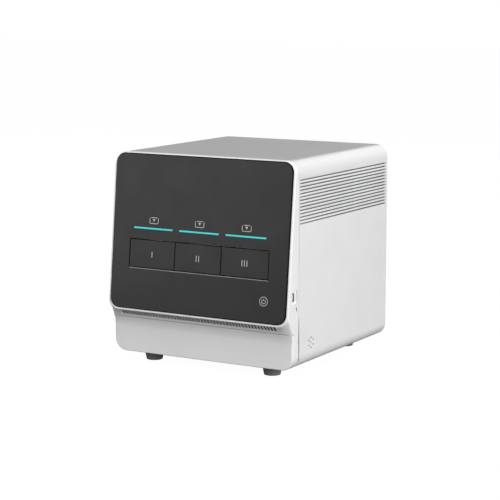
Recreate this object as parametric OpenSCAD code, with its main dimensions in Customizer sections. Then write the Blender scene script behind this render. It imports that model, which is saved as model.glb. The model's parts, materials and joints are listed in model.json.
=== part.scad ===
// Three-bay gradient thermal cycler for the bench, loaded by three motor drawers.
// The front faces -Y, the right side is +X, and the feet stand on z = 0.
// The origin is the middle of the footprint at bench height.

/* [Housing] */
// Width over the side walls
body_w = 360; // [350:1:400]
// Depth from the front glass to the rear rim
body_d = 374; // [366:1:430]
// Height without the feet
body_h = 352; // [340:1:420]
// Radius of the four long edges
edge_r = 23; // [16:1:30]
// Wall thickness of the wrap and of the front frame
wall_t = 3; // [2.4:0.2:4]
// Reach of the wrap's bottom flanges from the side walls
flange_reach = 84; // [74:1:100]
// Distance from the front glass back to the seam behind the front frame
seam_d = 40; // [38:1:46]
// Width of the seam
seam_gap = 0.9; // [0.4:0.1:1.5]
// Depth of the rear panel behind the wrap's rear rim
rear_inset = 2.5; // [2:0.5:6]

/* [Front frame and glass] */
// Lean of the face, its top towards the back
face_tilt = 6; // [3:0.5:8]
// Width of the white rim beside the front glass
rim_side = 4; // [3.5:0.5:8]
// Width of the white rim over the front glass
rim_top = 1.5; // [1.5:0.5:6]
// Corner radius of the front glass
glass_r = 18; // [10:1:20]
// Thickness of the front glass
glass_t = 4; // [3.5:0.5:6]
// How far the glass stands proud of the white rim
glass_proud = 2.6; // [1:0.2:3]
// Radius of the glass's edge
glass_edge = 2.2; // [0.8:0.2:2.6]
// Height of the glass's lower edge above the bench
glass_z = 98.5; // [95:0.5:101]
// Width of the white rim under the glass
lip_w = 3; // [2.5:0.5:6]
// Radius of the frame's outer edge around the face
rim_r = 2.4; // [1:0.2:3]
// Thickness of the ledge behind the glass
shelf_t = 3; // [2:0.5:4]
// Reach of the frame's tongue into the wrap
tongue_l = 5; // [4:0.5:8]
// Distance from the front glass back to the chin
chin_set = 21; // [18:1:24]
// Radius of the hollow sweep between the lip and the chin
cove_r = 40; // [36:1:46]
// Thickness of the film that holds the glass and the touch board
film_t = 0.05; // [0.05:0.05:0.2]
// Pitch of the air slots of the comb
comb_pitch = 6.2; // [5:0.1:8]
// Width of an air slot of the comb
comb_slot_w = 3.4; // [1.6:0.1:4]
// Length of an air slot of the comb
comb_slot_l = 12.5; // [6:0.5:18]
// Width of the whole comb
comb_span = 312; // [200:1:316]

/* [Lights] */
// Length of a light bar
light_l = 79; // [50:1:84]
// Height of a light bar
light_h = 2.8; // [2:0.2:4]
// Height of the light bars above the glass's lower edge
light_v = 142.4; // [136:0.5:150]

/* [Drawers] */
// Distance from bay to bay
bay_pitch = 92.5; // [91:0.5:93]
// Height of a drawer front
front_h = 47.5; // [46.5:0.5:50]
// Height of the drawer fronts above the glass's lower edge
front_v = 74.3; // [70:0.5:80]
// Gap around each drawer front
front_gap = 1.6; // [1.2:0.1:2]
// Thickness of a drawer front
front_t = 8; // [7:0.5:9]
// Travel of a drawer
drawer_travel = 80; // [70:1:84]
// Width of a drawer tray over its walls
tray_w = 80; // [79:0.5:80]
// Thickness of the tray's walls
tray_wall = 2; // [1.6:0.2:2.4]
// Height of the drawer runners
runner_h = 3; // [2:0.5:4]
// Clearance of the runners in their rails
runner_gap = 0.3; // [0.2:0.1:0.5]

/* [Sample block] */
// Distance from well to well
well_pitch = 9; // [8.5:0.5:9]
// Wells across a block
well_cols = 8; // [4:1:8]
// Wells from front to back
well_rows = 4; // [2:1:4]
// Diameter of a well at its mouth
well_d = 6.2; // [5:0.1:6.6]
// Diameter of a well at its foot
well_foot_d = 3; // [2:0.1:4]
// Depth of a well
well_depth = 11.5; // [8:0.5:12]
// Margin of the block outside the last wells
block_margin = 5.5; // [4.5:0.5:5.5]
// Height of the block
block_h = 14; // [14:0.5:16]
// Distance from the front glass back to the block's middle
block_set = 59; // [58:0.5:61]
// Thickness of the thermoelectric plates
pelt_t = 3.4; // [3:0.1:4]
// Side of a square thermoelectric plate
pelt_s = 30; // [26:1:30]
// Thickness of the heat sink's base
sink_base = 4; // [3:0.5:5]
// Height of the heat sink's fins
fin_h = 10; // [8:1:10]
// Thickness of a fin
fin_t = 1.2; // [0.8:0.1:1.6]
// Distance from fin to fin
fin_pitch = 3.6; // [3:0.2:6]

/* [Heated lid] */
// Room between block and lid plate for the tube caps
cap_room = 7.6; // [7:0.2:9]
// Thickness of the heated lid plate
lid_plate_t = 4; // [3:0.5:6]
// Thickness of the lid carrier
carrier_t = 3; // [2.5:0.5:5]
// Lift of the lid
lid_lift = 6; // [4:1:8]
// Diameter of the lid's guide pins
guide_d = 5; // [4:0.5:6]
// Diameter of the lid screw
lid_screw_d = 6; // [5:0.5:8]
// Diameter of the lid motor
lid_motor_d = 24; // [20:1:28]
// Height of the lid motor
lid_motor_h = 30; // [24:1:40]

/* [Drawer drive] */
// Gear module of rack and pinion
gear_m = 1; // [0.9:0.1:1]
// Teeth of the pinion
pinion_teeth = 16; // [15:1:16]
// Width of the rack
rack_w = 6; // [5:0.5:8]
// Diameter of the pinion's shaft
pinion_shaft_d = 4; // [3:0.5:5]
// Diameter of the drawer motor
motor_d = 16; // [12:1:16]
// Length of the drawer motor
motor_l = 17; // [12:1:18]
// Radial clearance of shafts, pins and screws in their bores
running_gap = 0.05; // [0.03:0.01:0.08]

/* [Cages and deck] */
// Sheet thickness of cages, deck and base
sheet_t = 1.8; // [1.4:0.1:2]
// Gap between neighbouring cages
cage_gap = 0.9; // [0.5:0.1:1.5]
// Length of a cage
cage_l = 132; // [126:1:140]
// Room between the deck and the trays
deck_room = 12; // [11.5:0.5:16]
// Length of the deck
deck_l = 150; // [140:1:170]
// Width of the flanges on which the deck's legs stand
leg_flange = 12; // [10:1:14]
// Gap between the legs and the electronics
leg_gap = 2; // [1.5:0.5:4]
// Height of the main board's standoffs
standoff_h = 8; // [5:1:12]

/* [Louvres and speaker] */
// Number of louvre rows
louvre_rows = 14; // [6:1:14]
// Distance from louvre row to louvre row
louvre_pitch = 5.6; // [5:0.1:5.8]
// Height of a louvre slot
louvre_h = 2.4; // [1.5:0.1:3]
// Depth of the top louvre row below the top of the housing
louvre_drop = 33; // [30:1:60]
// Distance from the seam to the louvres
louvre_start = 2.5; // [2:0.5:8]
// Distance from the louvres to the rear rim
louvre_end = 6; // [4:0.5:12]
// Distance from the front glass back to the rib behind the louvres
louvre_break = 250.5; // [200:0.5:260]
// Width of the rib that crosses behind the louvres
louvre_rib = 3; // [2:0.5:6]
// Depth of the louvres over that rib
louvre_groove = 1.6; // [0.8:0.1:2]
// Thickness of the filter mats behind the louvres
filter_t = 1.5; // [1:0.1:3]
// Overlap of the filter mats around the louvres
filter_lap = 2.5; // [1:0.5:4]
// Diameter of a speaker hole
speaker_hole = 2.8; // [1.5:0.1:3]
// Radius of the ring of speaker holes
speaker_ring = 8.6; // [6:0.2:10]
// Distance from the front glass back to the speaker
speaker_set = 84; // [78:1:110]
// Height of the speaker above the bench
speaker_z = 57; // [52:0.5:80]
// Diameter of the speaker
speaker_d = 28; // [24:1:34]

/* [Socket in the side] */
// Distance from the front glass back to the socket's middle
usb_set = 26; // [24.5:0.5:28]
// Height of the socket above the bench
usb_z = 143; // [138:0.5:150]
// Width of the recess around the socket
usb_recess_w = 17; // [15:0.5:18]
// Height of the recess around the socket
usb_recess_h = 24; // [20:0.5:28]
// Depth of the recess around the socket
usb_recess_t = 3; // [1:0.5:4]
// Thickness of the pad behind the recess
usb_pad_t = 1.8; // [1.4:0.2:2.4]

/* [Electronics] */
// Width of the main board
board_w = 106; // [90:1:110]
// Length of the main board
board_l = 190; // [180:1:196]
// Thickness of the circuit boards
board_t = 1.6; // [1:0.2:2.4]
// Grid on which the parts of the main board stand
board_grid = 10; // [8:0.5:10]
// Width of the power supply
supply_w = 100; // [80:1:104]
// Length of the power supply
supply_l = 120; // [100:1:140]
// Height of the power supply
supply_h = 44; // [30:1:50]
// Distance between the vents of the power supply
supply_vent = 9; // [7:0.5:12]
// Margin of the touch board inside the side walls
touch_side = 30; // [24:1:50]
// Height of the touch board along the face
touch_l = 72; // [50:1:80]
// Reach of the touch board below the light bars
touch_drop = 12; // [8:1:16]
// Distance between the chips of the touch board
chip_pitch = 60; // [40:1:70]
// Side of a chip of the touch board
chip_s = 14; // [8:1:16]

/* [Rear] */
// Side of a square fan
fan_s = 92; // [80:1:92]
// Depth of a fan
fan_t = 25; // [20:1:30]
// Distance of each fan from the middle
fan_x = 72; // [55:1:100]
// Depth of the fans' middle below the top of the housing
fan_drop = 100; // [60:1:110]
// Distance of a fan's screws from its sides
fan_screw_in = 5; // [4:0.5:6]
// Depth of the flange under the rear panel
rear_flange = 14; // [10:1:16]
// Length of the fan screws behind the panel
fan_screw_l = 6; // [5:0.5:10]
// Distance from row to row of the fan grilles
grille_pitch = 6; // [5:0.5:8]
// Height of a slot of the fan grilles
grille_slot = 3.6; // [2.4:0.2:4]
// Number of blades of a fan
fan_blades = 7; // [5:1:9]
// Distance of the power inlet left of the middle
inlet_x = 118; // [90:1:130]
// Height of the power inlet and the switch above the bench
inlet_z = 71.5; // [50:0.5:120]
// Distance from the inlet to the switch
switch_step = 42; // [36:1:60]
// Swing of the rocker from one side to the other
rocker_swing = 14; // [10:1:16]

/* [Feet] */
// Height of the feet
foot_h = 17.5; // [12:0.5:20]
// Diameter of a foot at the top
foot_d = 34; // [26:1:36]
// Diameter of a foot on the bench
foot_tip_d = 28.5; // [18:0.5:30]
// Distance of the feet from the side walls
foot_inset = 60; // [56:1:66]
// Distance from the front glass back to the front feet
foot_front = 57; // [54:1:80]
// Distance from the rear rim forward to the rear feet
foot_rear = 45; // [30:1:80]
// Diameter of the foot screws and of the main board's studs
screw_d = 4; // [3:0.5:5]

/* [Hidden] */
$fn = 48;
eps = 0.01;
LEFT = -1;
MIDDLE = 0;
RIGHT = 1;
y_front = -body_d / 2;
y_back = body_d / 2;
seam_y = y_front + seam_d;
chin_y = y_front + chin_set;
z_top = foot_h + body_h;
side_x = body_w / 2;
glass_w = body_w - 2 * rim_side;
glass_l = (z_top - glass_z) / cos(face_tilt) - rim_top;
fan_z = z_top - fan_drop;
foot_x = side_x - foot_inset;
face_y = y_front - glass_edge * sin(face_tilt);
floor_z = foot_h + wall_t;
base_top = floor_z + sheet_t;
// A point of the face, v up the face and w out of it
function face_pt(v, w) = [face_y + v * sin(face_tilt) - w * cos(face_tilt),
                          glass_z + v * cos(face_tilt) + w * sin(face_tilt)];
lip_pt = face_pt(-lip_w, -glass_proud);
cove_y = chin_y - cove_r;
cove_z = lip_pt[1] - sqrt(pow(cove_r, 2) - pow(lip_pt[0] - cove_y, 2));
lip_r = glass_r + lip_w;
lip_corner_z = lip_pt[1] + lip_r;
lip_angle = acos((lip_pt[0] - cove_y) / cove_r);
comb_angle = lip_angle - (comb_slot_l / 2 + 1.5) * 180 / (PI * cove_r);
comb_count = floor(comb_span / comb_pitch);
open_w = 3 * bay_pitch + front_gap;
front_w = bay_pitch - front_gap;
open_gap = front_gap;
tray_z = face_pt(front_v, 0)[1] + 1;
plate_z = tray_z + fin_h + sink_base;
block_z = plate_z + pelt_t;
block_top = block_z + block_h;
block_w = (well_cols - 1) * well_pitch + 2 * block_margin;
block_d = (well_rows - 1) * well_pitch + 2 * block_margin;
block_y = y_front + block_set;
sink_d = block_d + 8;
lid_z = block_top + cap_room;
carrier_z = lid_z + lid_plate_t;
boss_z = carrier_z + carrier_t;
boss_h = 10;
cage_top = boss_z + boss_h + lid_lift + 1.2;
deck_z = tray_z - deck_room;
cage_w = bay_pitch - cage_gap;
cage_y = seam_y - 5;
pinion_r = gear_m * pinion_teeth / 2;
addendum = 0.8 * gear_m;
dedendum = gear_m;
backlash = 0.2;
gearbox_s = motor_d + 1;
pinion_y = block_y + sink_d / 2 + gearbox_s / 2 + 4;
pinion_z = plate_z - dedendum - pinion_r;
rack_pitch = PI * gear_m;
rack_teeth = ceil(drawer_travel / rack_pitch) + 3;
tail_y = pinion_y + (rack_teeth - 1) * rack_pitch + 3;
tray_in = tray_w / 2 - tray_wall;
runner_z = tray_z + 10;
runner_reach = 3.4;
plate_t = 2;
rear_y = y_back - rear_inset;
foot_ys = [y_front + foot_front, y_back - foot_rear];
louvre_y1 = y_back - louvre_end;
usb_y = y_front + usb_set;
usb_open_w = 7.4;
usb_open_h = 14.6;
usb_l = 14;
inlet_w = 28;
inlet_hh = 21;
switch_w = 15;
screw_hole = screw_d + 0.4;
leg_x = side_x - edge_r - leg_flange;
deck_half = max(leg_x, 1.5 * bay_pitch + 1);
board_x0 = leg_flange + leg_gap - leg_x;
board_x = [board_x0, board_x0 + board_w];
board_y1 = foot_ys[1] - 3.5 * screw_d;
board_y = [board_y1 - board_l, board_y1];

// Shared shapes

// A rectangle with true round corners, centred
module round_rect(w, h, r) {
    square([w - 2 * r, h], center = true);
    square([w, h - 2 * r], center = true);
    for (x = [-1, 1], z = [-1, 1]) translate([x * (w / 2 - r), z * (h / 2 - r)]) circle(r);
}

// A block from its lowest corner to its highest
module box(a, b) {
    translate(a) cube(b - a);
}

// The housing's section, inset by a distance, from y0 to y1
module section(inset, y0, y1) {
    translate([0, y1, foot_h + body_h / 2]) rotate([90, 0, 0])
        linear_extrude(y1 - y0) round_rect(body_w - 2 * inset, body_h - 2 * inset, edge_r - inset);
}

// Children drawn on the face: X across, Y up the face, Z out of it
module on_face(v = 0, w = 0) {
    translate([0, face_pt(v, w)[0], face_pt(v, w)[1]]) rotate([90 - face_tilt, 0, 0]) children();
}

// A disc along Y from y0 to y1
module rod_y(x, z, d, y0, y1) {
    translate([x, y1, z]) rotate([90, 0, 0]) cylinder(d = d, h = y1 - y0);
}

// A disc along X from x0 to x1
module rod_x(y, z, d, x0, x1) {
    translate([x0, y, z]) rotate([0, 90, 0]) cylinder(d = d, h = x1 - x0);
}

module in_bay(b) {
    translate([b * bay_pitch, 0, 0]) children();
}

// Housing

module louvre_slots() {
    y_start = seam_y + seam_gap / 2 + louvre_start;
    y_break = y_front + louvre_break;
    for (row = [0 : louvre_rows - 1], side = [-1, 1]) {
        z = z_top - louvre_drop - row * louvre_pitch;
        for (span = [[y_start, y_break - louvre_rib / 2], [y_break + louvre_rib / 2, louvre_y1]])
            translate([side * (side_x - wall_t / 2), (span[0] + span[1]) / 2, z])
                cube([2 * wall_t, span[1] - span[0], louvre_h], center = true);
        translate([side * side_x, y_break, z])
            cube([2 * louvre_groove, 2 * louvre_rib, louvre_h], center = true);
    }
}

// Mats that lie on the inside of the side walls
module air_filters() {
    inner_x = side_x - wall_t;
    top = z_top - louvre_drop + louvre_h / 2 + filter_lap;
    bottom = top - (louvre_rows - 1) * louvre_pitch - louvre_h - 2 * filter_lap;
    color("#4a4a4c") for (s = [0, 1]) mirror([s, 0, 0])
        box([inner_x - filter_t, seam_y + tongue_l + filter_lap, bottom], [inner_x, louvre_y1 + 1, top]);
}

module speaker_holes() {
    rod_x(y_front + speaker_set, speaker_z, speaker_hole, side_x - 2 * wall_t, side_x + 1);
    for (a = [0 : 60 : 300])
        rod_x(y_front + speaker_set + speaker_ring * sin(a), speaker_z + speaker_ring * cos(a),
              speaker_hole, side_x - 2 * wall_t, side_x + 1);
}

module foot_holes(d, z0, z1) {
    for (x = [-foot_x, foot_x], y = foot_ys) translate([x, y, z0]) cylinder(d = d, h = z1 - z0);
}

module wrap_housing() {
    color("whitesmoke") difference() {
        section(0, seam_y + seam_gap / 2, y_back);
        section(wall_t, seam_y - 1, y_back + 1);
        flange_x = side_x - flange_reach;
        box([-flange_x, seam_y - 1, foot_h - 1], [flange_x, y_back + 1, floor_z + 1]);
        louvre_slots();
        speaker_holes();
        foot_holes(screw_hole, foot_h - 1, floor_z + 1);
    }
}

// Front frame: the face and its rounded rim, the lip, the hollow sweep and the chin

// Outline of the rim on the face at depth w, inset by a distance
module rim_slice(w, inset) {
    top = (z_top - face_pt(0, w)[1]) / cos(face_tilt) - inset;
    bottom = (cove_z - face_pt(0, w)[1]) / cos(face_tilt);
    on_face(0, w) linear_extrude(eps) translate([0, (top + bottom) / 2])
        hull() for (x = [-1, 1]) {
            translate([x * (side_x - edge_r), (top - bottom) / 2 + inset - edge_r]) circle(edge_r - inset);
            translate([x * (side_x - inset - 1), (bottom - top) / 2 + 1]) square(2, center = true);
        }
}

// The solid front, before it is hollowed
module front_mass() {
    hull() {
        for (a = [0 : 22.5 : 90]) rim_slice(-glass_proud - rim_r * (1 - cos(a)), rim_r * (1 - sin(a)));
        intersection() {
            section(0, seam_y - 1, seam_y - seam_gap / 2);
            box([-side_x, seam_y - 2, cove_z], [side_x, seam_y, z_top]);
        }
    }
    intersection() {
        section(0, chin_y, seam_y - seam_gap / 2);
        box([-side_x, chin_y, foot_h], [side_x, seam_y, z_top - body_h / 2]);
    }
}

// What the sweep takes away from the front, grown into the wall by a distance
module cove_side(grow) {
    lip_drop = lip_corner_z - cove_z;
    translate([side_x - lip_r, 0, lip_corner_z]) rotate([90, 0, 0]) rotate([0, 0, -90])
        rotate_extrude(angle = 90) {
            translate([lip_drop, -cove_y]) circle(cove_r + grow, $fn = 96);
            translate([lip_drop, -chin_y - grow]) square([side_x, seam_d]);
        }
}

module cove(grow) {
    reach = side_x - lip_r;
    translate([-reach, cove_y, cove_z]) rotate([0, 90, 0])
        cylinder(r = cove_r + grow, h = 2 * reach, $fn = 96);
    box([-side_x - 1, y_front - seam_d, 0], [side_x + 1, chin_y + grow, cove_z]);
    cove_side(grow);
    mirror([1, 0, 0]) cove_side(grow);
}

module comb_slots() {
    for (i = [0 : comb_count - 1])
        translate([(i - (comb_count - 1) / 2) * comb_pitch, cove_y, cove_z]) rotate([comb_angle, 0, 0])
            translate([-comb_slot_w / 2, cove_r - wall_t, -comb_slot_l / 2])
                cube([comb_slot_w, 2 * wall_t + 1, comb_slot_l]);
}

// Openings through glass and ledge, from depth w0 to w1
module face_openings(w0, w1) {
    on_face(0, w0) translate([-open_w / 2, front_v - open_gap, 0])
        cube([open_w, front_h + 2 * open_gap, w1 - w0]);
    for (b = [LEFT, MIDDLE, RIGHT]) on_face(light_v, w0)
        translate([b * bay_pitch, 0, (w1 - w0) / 2]) cube([light_l, light_h, w1 - w0], center = true);
}

module usb_cut() {
    box([side_x - usb_recess_t, usb_y - usb_recess_w / 2, usb_z - usb_recess_h / 2],
        [side_x + 1, usb_y + usb_recess_w / 2, usb_z + usb_recess_h / 2]);
    box([side_x - usb_recess_t - 2 * usb_pad_t, usb_y - usb_open_w / 2, usb_z - usb_open_h / 2],
        [side_x + 1, usb_y + usb_open_w / 2, usb_z + usb_open_h / 2]);
}

// Pad that closes the recess behind the side wall
module usb_pad() {
    difference() {
        box([side_x - usb_recess_t - usb_pad_t, usb_y - usb_recess_w / 2 - usb_pad_t,
             usb_z - usb_recess_h / 2 - usb_pad_t],
            [side_x - wall_t / 2, usb_y + usb_recess_w / 2 + usb_pad_t,
             usb_z + usb_recess_h / 2 + usb_pad_t]);
        usb_cut();
    }
}

module front_frame() {
    color("whitesmoke") {
        difference() {
            front_mass();
            cove(0);
            // Seat of the glass
            on_face(0, -glass_t - film_t) linear_extrude(2 * glass_t) translate([0, glass_l / 2])
                round_rect(glass_w + 0.2, glass_l + 0.2, glass_r);
            // Hollow behind the ledge, the sweep and the chin
            difference() {
                section(wall_t, y_front - 1, seam_y + 1);
                on_face(0, -glass_t - shelf_t) translate([-side_x, -cove_r, 0])
                    cube([body_w, 2 * body_h, seam_d]);
                cove(wall_t);
            }
            comb_slots();
            face_openings(-seam_d / 2, 1);
            usb_cut();
        }
        usb_pad();
        // Tongue that lines the wrap up with the frame
        difference() {
            union() {
                section(wall_t - 0.5, seam_y - 6, seam_y - seam_gap / 2);
                section(wall_t + 0.3, seam_y - 6, seam_y + tongue_l);
            }
            section(wall_t + 2, seam_y - 7, seam_y + tongue_l + 1);
            box([-side_x, seam_y - 8, foot_h], [side_x, seam_y + tongue_l + 3, base_top + 0.3]);
        }
    }
}

// Glass with a rounded edge: a hull of four corners, each a revolved quarter round
module glass_blank() {
    hull() for (x = [-1, 1], v = [0, 1])
        translate([x * (glass_w / 2 - glass_r), v == 0 ? glass_r : glass_l - glass_r, -glass_t])
            rotate_extrude($fn = 64) intersection() {
                union() {
                    square([glass_r, glass_t - glass_edge]);
                    square([glass_r - glass_edge, glass_t]);
                    translate([glass_r - glass_edge, glass_t - glass_edge]) circle(glass_edge, $fn = 24);
                }
                square([glass_r, glass_t]);
            }
}

module front_glass() {
    color("#3c3c3e") difference() {
        on_face() glass_blank();
        face_openings(-glass_t - 1, 1);
        // Bright chamfer along the lower edge of the drawer opening
        on_face(front_v - open_gap, 0) rotate([0, 90, 0])
            cylinder(r = 1, h = open_w, center = true, $fn = 4);
    }
}

module status_lights() {
    color("turquoise") for (b = [LEFT, MIDDLE, RIGHT]) on_face(light_v, -glass_t - shelf_t)
        translate([b * bay_pitch, 0, (glass_t + shelf_t) / 2])
            cube([light_l - 0.1, light_h - 0.1, glass_t + shelf_t], center = true);
}

module touch_board() {
    board_v = light_v - touch_drop;
    chip_t = 2 * board_t;
    color("darkgreen") on_face(board_v + touch_l / 2, -glass_t - shelf_t - film_t - board_t) {
        translate([0, 0, board_t / 2]) cube([body_w - 2 * touch_side, touch_l, board_t], center = true);
        for (i = [-1.5 : 1.5]) translate([i * chip_pitch, 0, -chip_t / 2])
            cube([chip_s, chip_s, chip_t], center = true);
    }
}

// Base, feet and deck

module standoff_places() {
    for (x = [board_x[0] + 8, board_x[1] - 8], y = [board_y[0] + 8, board_y[1] - 8])
        translate([x, y, base_top]) children();
}

module base_plate() {
    color("gainsboro") difference() {
        union() {
            box([-side_x + edge_r + 2, chin_y + wall_t + 1, floor_z],
                [side_x - edge_r - 2, rear_y - sheet_t - 0.5, base_top]);
            standoff_places() cylinder(d = 2 * screw_d, h = standoff_h);
        }
        foot_holes(screw_hole, foot_h, base_top + 1);
    }
}

module rubber_feet() {
    color("#3a3a3a") for (x = [-foot_x, foot_x], y = foot_ys) translate([x, y, 0]) difference() {
        union() {
            cylinder(d1 = foot_tip_d, d2 = foot_d, h = foot_h - 3);
            translate([0, 0, foot_h - 3]) cylinder(d = foot_d, h = 3);
        }
        translate([0, 0, -1]) cylinder(d = 2.4 * screw_d, h = foot_h / 2 + 1);
        cylinder(d = screw_hole, h = foot_h + 1);
    }
}

module foot_screws() {
    head_h = 0.6 * screw_d;
    color("silver") for (x = [-foot_x, foot_x], y = foot_ys) translate([x, y, foot_h / 2 - head_h]) {
        difference() {
            cylinder(d = 2 * screw_d, h = head_h);
            translate([0, 0, -1]) cylinder(d = screw_d, h = 1 + head_h / 2, $fn = 6);
        }
        cylinder(d = screw_d, h = base_top + 3 - foot_h / 2 + head_h);
    }
}

module chassis_deck() {
    y0 = cage_y;
    y1 = y0 + deck_l;
    color("silver") difference() {
        union() {
            box([-deck_half, y0, deck_z - sheet_t], [deck_half, y1, deck_z]);
            for (s = [-1, 1]) {
                translate([s * (leg_x - sheet_t / 2), (y0 + y1) / 2, (deck_z + base_top) / 2])
                    cube([sheet_t, deck_l, deck_z - base_top], center = true);
                translate([s * (leg_x - leg_flange / 2), (y0 + y1) / 2, base_top + sheet_t / 2])
                    cube([leg_flange, deck_l, sheet_t], center = true);
            }
        }
        // Air windows under the heat sinks, and slots in the legs
        for (b = [LEFT, MIDDLE, RIGHT]) translate([b * bay_pitch, block_y, deck_z])
            cube([64, sink_d - 8, 4 * sheet_t], center = true);
        for (i = [0 : 3], s = [-1, 1]) translate([s * leg_x, y0 + 28 + i * 32, (deck_z + base_top) / 2])
            cube([6 * sheet_t, 20, 60], center = true);
    }
}

// Bays

module bay_cage(b) {
    x = cage_w / 2;
    rail_x = tray_w / 2 + 1;
    y1 = cage_y + cage_l;
    color("lightgrey") in_bay(b) difference() {
        union() {
            box([-x, cage_y, cage_top], [x, y1, cage_top + sheet_t]);
            for (s = [0, 1]) mirror([s, 0, 0]) {
                box([x - sheet_t, cage_y, deck_z], [x, y1, cage_top + sheet_t]);
                box([rail_x - 3, cage_y, deck_z], [x, y1, deck_z + sheet_t]);
                // Drawer rail: two lips with the runner between them
                box([rail_x, cage_y, runner_z - runner_gap - 1.6], [x, y1, runner_z - runner_gap]);
                box([rail_x, cage_y, runner_z + runner_h + runner_gap],
                    [x, y1, runner_z + runner_h + runner_gap + 1.6]);
            }
        }
        guide_bores();
        translate([0, block_y, cage_top - 1]) cylinder(d = lid_screw_d + 2, h = sheet_t + 2);
        // Opening over the tail of the tray
        box([-x + 14, block_y + block_d / 2 + 16, cage_top - 1], [x - 14, y1 - 14, cage_top + sheet_t + 1]);
    }
}

module guide_places() {
    for (x = [-1, 1], y = [-1, 1])
        translate([x * (block_w / 2 - 7), block_y + y * (block_d / 2 - 5), 0]) children();
}

module guide_bores() {
    guide_places() translate([0, 0, cage_top - 1]) cylinder(d = guide_d + 2 * running_gap, h = sheet_t + 2);
}

module drawer_front(b) {
    color("#3c3c3e") in_bay(b) on_face(front_v, -front_t) translate([-front_w / 2, 0, 0])
        cube([front_w, front_h, front_t]);
}

// Outline of the rack's teeth, seen along X, the first tooth over the pinion
function rack_tooth(y) = let (half = rack_pitch / 4 - backlash / 4, lean = tan(20)) [
    [y - half - dedendum * lean, dedendum], [y - half + addendum * lean, -addendum],
    [y + half - addendum * lean, -addendum], [y + half + dedendum * lean, dedendum]];

module rack() {
    points = [for (i = [0 : rack_teeth - 1]) each rack_tooth((i - 1) * rack_pitch)];
    translate([-rack_w / 2, pinion_y, pinion_z + pinion_r]) rotate([90, 0, 90]) linear_extrude(rack_w)
        polygon(concat([[(rack_teeth - 1) * rack_pitch, dedendum + plate_t / 2],
                        [-2 * rack_pitch, dedendum + plate_t / 2]], points));
}

module drawer_tray(b) {
    half = tray_w / 2;
    wall_y = block_y + block_d / 2 + 6;
    color("dimgrey") in_bay(b) {
        difference() {
            union() {
                box([-half, y_front, plate_z], [half, tail_y, plate_z + plate_t]);
                for (s = [0, 1]) mirror([s, 0, 0]) {
                    box([tray_in, y_front, tray_z + 4], [half, tail_y, plate_z + plate_t + 3]);
                    box([tray_in, y_front, plate_z], [half, wall_y, lid_z - 4]);
                    box([half - 1, y_front, runner_z],
                        [half + runner_reach, tail_y - 2, runner_z + runner_h]);
                }
                // Rear wall of the tube well
                box([-half, wall_y - tray_wall, plate_z], [half, wall_y, lid_z - 4]);
                // Front wall, which leans with the face
                intersection() {
                    on_face(0, -front_t - 2.4) translate([-half, 0, 0]) cube([tray_w, body_h, 2.4]);
                    box([-half, y_front, tray_z + 1], [half, block_y, lid_z - 4]);
                }
            }
            on_face(0, -front_t) translate([-body_w / 2, 0, 0]) cube([body_w, body_h, seam_d]);
            // Window for the thermoelectric plates
            translate([0, block_y, plate_z]) cube([2 * pelt_s + 8, pelt_s + 4, 3 * plate_t], center = true);
            // Relief where the drawer crosses the ledge behind the glass
            box([half - 1 + eps, y_front, 0], [half + runner_reach + 1, cage_y - 6, cage_top]);
        }
        rack();
    }
}

module sample_block(b) {
    color("silver") in_bay(b) translate([0, block_y, block_z]) difference() {
        translate([-block_w / 2, -block_d / 2, 0]) cube([block_w, block_d, block_h]);
        for (i = [0 : well_cols - 1], j = [0 : well_rows - 1])
            translate([(i - (well_cols - 1) / 2) * well_pitch, (j - (well_rows - 1) / 2) * well_pitch,
                       block_h - well_depth])
                cylinder(d1 = well_foot_d, d2 = well_d, h = well_depth + eps, $fn = 24);
    }
}

module thermoelectrics(b) {
    color("white") in_bay(b) for (x = [-1, 1])
        translate([x * (pelt_s / 2 + 1), block_y, plate_z + pelt_t / 2]) {
            for (z = [-1, 1]) translate([0, 0, z * (pelt_t / 2 - 0.4)])
                cube([pelt_s, pelt_s, 0.8], center = true);
            cube([pelt_s - 2, pelt_s - 2, pelt_t - 1], center = true);
        }
}

module heat_sink(b) {
    w = 2 * tray_in - 1;
    fins = floor((w - fin_t) / (2 * fin_pitch));
    color("silver") in_bay(b) translate([0, block_y, 0]) {
        translate([-w / 2, -sink_d / 2, plate_z - sink_base]) cube([w, sink_d, sink_base]);
        for (i = [-fins : fins]) translate([i * fin_pitch - fin_t / 2, -sink_d / 2, tray_z])
            cube([fin_t, sink_d, fin_h + eps]);
    }
}

// Involute outline of one flank, from the base circle to the tip
function flank(base, tip, n) = [for (i = [0 : n])
    let (t = sqrt(pow(tip / base, 2) - 1) * i / n, a = t * 180 / PI)
    [base * (cos(a) + t * sin(a)), base * (sin(a) - t * cos(a))]];
function turned(p, a) = [p[0] * cos(a) - p[1] * sin(a), p[0] * sin(a) + p[1] * cos(a)];

module pinion_outline() {
    base = pinion_r * cos(20);
    side = flank(base, pinion_r + addendum, 5);
    // Half the angle of a tooth at the base circle
    half = 90 / pinion_teeth - backlash / 4 / pinion_r * 180 / PI + (tan(20) * 180 / PI - 20);
    root = pinion_r - dedendum;
    step = 360 / pinion_teeth;
    polygon([for (i = [0 : pinion_teeth - 1]) let (a = (i + 0.5) * step) each concat(
        [turned([root, 0], a - half)],
        [for (p = side) turned(p, a - half)],
        [for (k = [len(side) - 1 : -1 : 0]) turned([side[k][0], -side[k][1]], a + half)],
        [turned([root, 0], a + half)])]);
}

module drive_pinion(b) {
    color("ivory") in_bay(b) translate([0, pinion_y, pinion_z]) rotate([90, 0, 90]) {
        translate([0, 0, -rack_w / 2 - 0.5]) linear_extrude(rack_w + 1) pinion_outline();
        cylinder(d = pinion_shaft_d, h = rack_w / 2 + 10);
    }
}

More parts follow.
